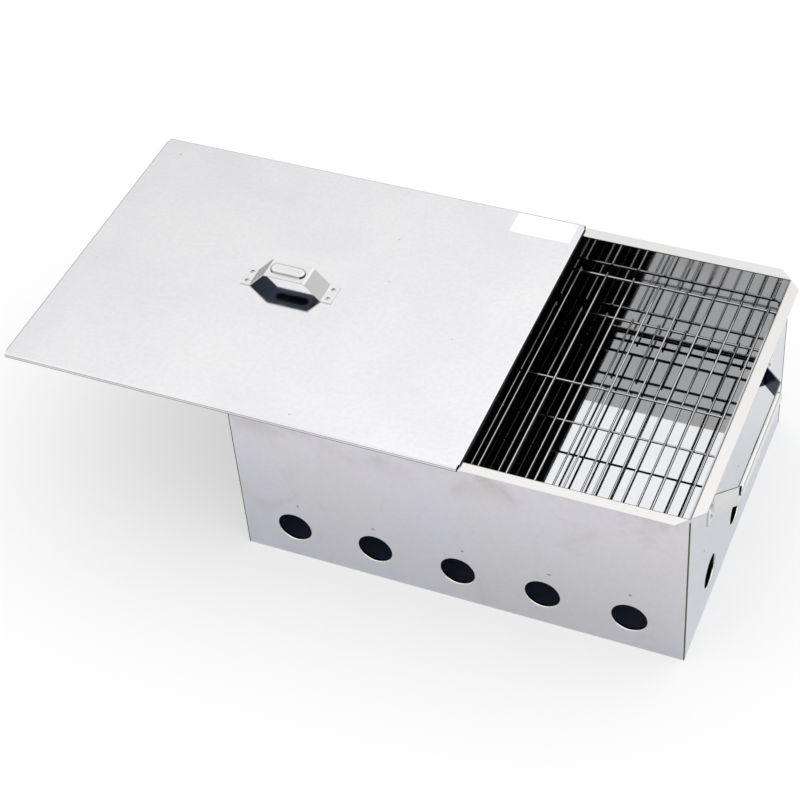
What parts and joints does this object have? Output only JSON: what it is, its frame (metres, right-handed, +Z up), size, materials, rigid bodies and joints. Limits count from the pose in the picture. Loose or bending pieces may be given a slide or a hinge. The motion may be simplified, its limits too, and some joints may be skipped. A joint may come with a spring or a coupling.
{
  "type": "smoker box",
  "caption": "Rectangular sheet-steel smoker box with a lid that slides on its top flanges, bent strap handles, round low vents, and wire food grids over a baffle plate on inner rails.",
  "frame": {"origin": "middle of the box's flat underside, on the surface it stands on", "axes": "+X along the box's long side, away from the overhanging end of the half-open lid, +Y from the vented front wall to the back wall, +Z up"},
  "size_m": [0.941, 0.475, 0.2945],
  "materials": {
    "wall_sheet": "bright rolled stainless sheet with faint mottling",
    "floor_sheet": "bright rolled stainless sheet",
    "baffle_sheet": "mirror-bright stainless sheet",
    "lid_sheet": "bright rolled stainless sheet with faint streaks",
    "handle_strap": "polished bent strap",
    "rail": "dull rolled stainless sheet",
    "grid_wire": "bright plated wire",
    "rivet": "satin",
    "label": "blank white sticker"
  },
  "bodies": {
    "box": {"front_wall": "wall_sheet", "back_wall": "wall_sheet", "left_end_wall": "wall_sheet", "right_end_wall": "wall_sheet", "floor_pan": "floor_sheet", "upper_left_rail": "rail", "upper_right_rail": "rail", "lower_left_rail": "rail", "lower_right_rail": "rail", "baffle_front_rail": "rail", "baffle_back_rail": "rail", "left_end_handle": "handle_strap", "left_end_handle_rivets": "rivet", "right_end_handle": "handle_strap", "right_end_handle_rivets": "rivet"},
    "lid": {"lid_sheet": "lid_sheet", "lid_handle": "handle_strap", "lid_handle_rivets": "rivet", "lid_label": "label"},
    "upper_grid": {"upper_grid_front_bar": "grid_wire", "upper_grid_centre_bar": "grid_wire", "upper_grid_back_bar": "grid_wire", "upper_grid_wires": "grid_wire"},
    "lower_grid": {"lower_grid_front_bar": "grid_wire", "lower_grid_centre_bar": "grid_wire", "lower_grid_back_bar": "grid_wire", "lower_grid_wires": "grid_wire"},
    "baffle": {"baffle_plate": "baffle_sheet"}
  },
  "joints": [
    {"name": "lid_slide", "type": "slide", "parent": "box", "child": "lid", "axis": [1, 0, 0], "range_m": [-0.295, 0.2955]},
    {"name": "upper_grid_lift", "type": "slide", "parent": "box", "child": "upper_grid", "axis": [0, 0, 1], "range_m": [0, 0.044]},
    {"name": "lower_grid_lift", "type": "slide", "parent": "box", "child": "lower_grid", "axis": [0, 0, 1], "range_m": [0, 0.05]},
    {"name": "baffle_lift", "type": "slide", "parent": "box", "child": "baffle", "axis": [0, 0, 1], "range_m": [0, 0.024]}
  ]
}
